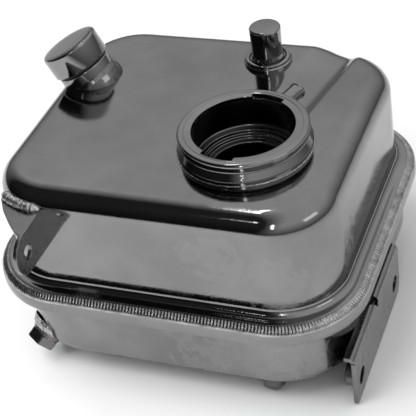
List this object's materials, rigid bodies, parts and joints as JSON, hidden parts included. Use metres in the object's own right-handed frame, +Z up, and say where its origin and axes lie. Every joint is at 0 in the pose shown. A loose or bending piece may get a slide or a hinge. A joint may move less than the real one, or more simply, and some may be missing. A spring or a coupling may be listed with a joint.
{
  "type": "hydraulic reservoir",
  "caption": "Bracket-mounted pressed-steel oil reservoir with an open filler neck, a screw-capped tilted port, a push-in breather, a hex drain plug and an outlet stub.",
  "frame": {"origin": "midway between the two bolt holes of the side bracket, on the bracket's outer face", "axes": "+X out of the bracket's face, away from the tank; +Y from the tank's front wall to its back wall; +Z up, out of the filler neck"},
  "size_m": [0.173, 0.1741, 0.1224],
  "materials": {
    "polished_steel": "polished",
    "plain_steel": "satin",
    "weld_metal": "rough bright weld bead",
    "black_rubber": "matt",
    "copper": "soft copper",
    "felt": "pressed felt",
    "brass_mesh": "woven mesh"
  },
  "bodies": {
    "tank": {"upper_shell": "polished_steel", "lower_shell": "polished_steel", "seam_weld": "weld_metal", "baffle_plate": "plain_steel", "filler_neck": "polished_steel", "filler_throat": "polished_steel", "filler_rim": "polished_steel", "neck_weld": "weld_metal", "overflow_nipple": "polished_steel", "port_boss": "polished_steel", "port_weld": "weld_metal", "breather_collar": "polished_steel", "drain_boss": "plain_steel", "drain_weld": "weld_metal", "outlet_stub": "plain_steel", "suction_strainer": "brass_mesh", "strainer_end": "plain_steel", "side_bracket": "plain_steel", "side_bracket_welds": "weld_metal", "weld_nut": "plain_steel", "front_bracket": "plain_steel", "front_bracket_weld": "weld_metal"},
    "gasket": {"port_gasket": "black_rubber"},
    "cap": {"port_cap": "polished_steel"},
    "breather": {"breather_stem": "plain_steel", "breather_seal": "black_rubber", "breather_filter": "felt", "breather_can": "polished_steel"},
    "washer": {"drain_washer": "copper"},
    "plug": {"drain_plug": "plain_steel"}
  },
  "joints": [
    {"name": "gasket_lift", "type": "slide", "parent": "tank", "child": "gasket", "axis": [-0.4337, 0, 0.9011], "range_m": [0, 0.012]},
    {"name": "cap_turn", "type": "hinge", "parent": "gasket", "child": "cap", "pos_m": [-0.1481, 0.0485, 0.0907], "axis": [-0.4337, 0, 0.9011], "range_deg": [0, 2160]},
    {"name": "breather_pull", "type": "slide", "parent": "tank", "child": "breather", "axis": [0, 0, 1], "range_m": [0, 0.018]},
    {"name": "washer_slide", "type": "slide", "parent": "tank", "child": "washer", "axis": [-0.5, -0.58, -0.643], "range_m": [0, 0.01]},
    {"name": "plug_turn", "type": "hinge", "parent": "washer", "child": "plug", "pos_m": [-0.1485, -0.0372, 0.0038], "axis": [-0.5, -0.58, -0.643], "range_deg": [0, 2880]}
  ],
  "couplings": [
    {"joint": "gasket_lift", "follows": "cap_turn", "m_per_rad": 0.00031831},
    {"joint": "washer_slide", "follows": "plug_turn", "m_per_rad": 0.00019894}
  ]
}
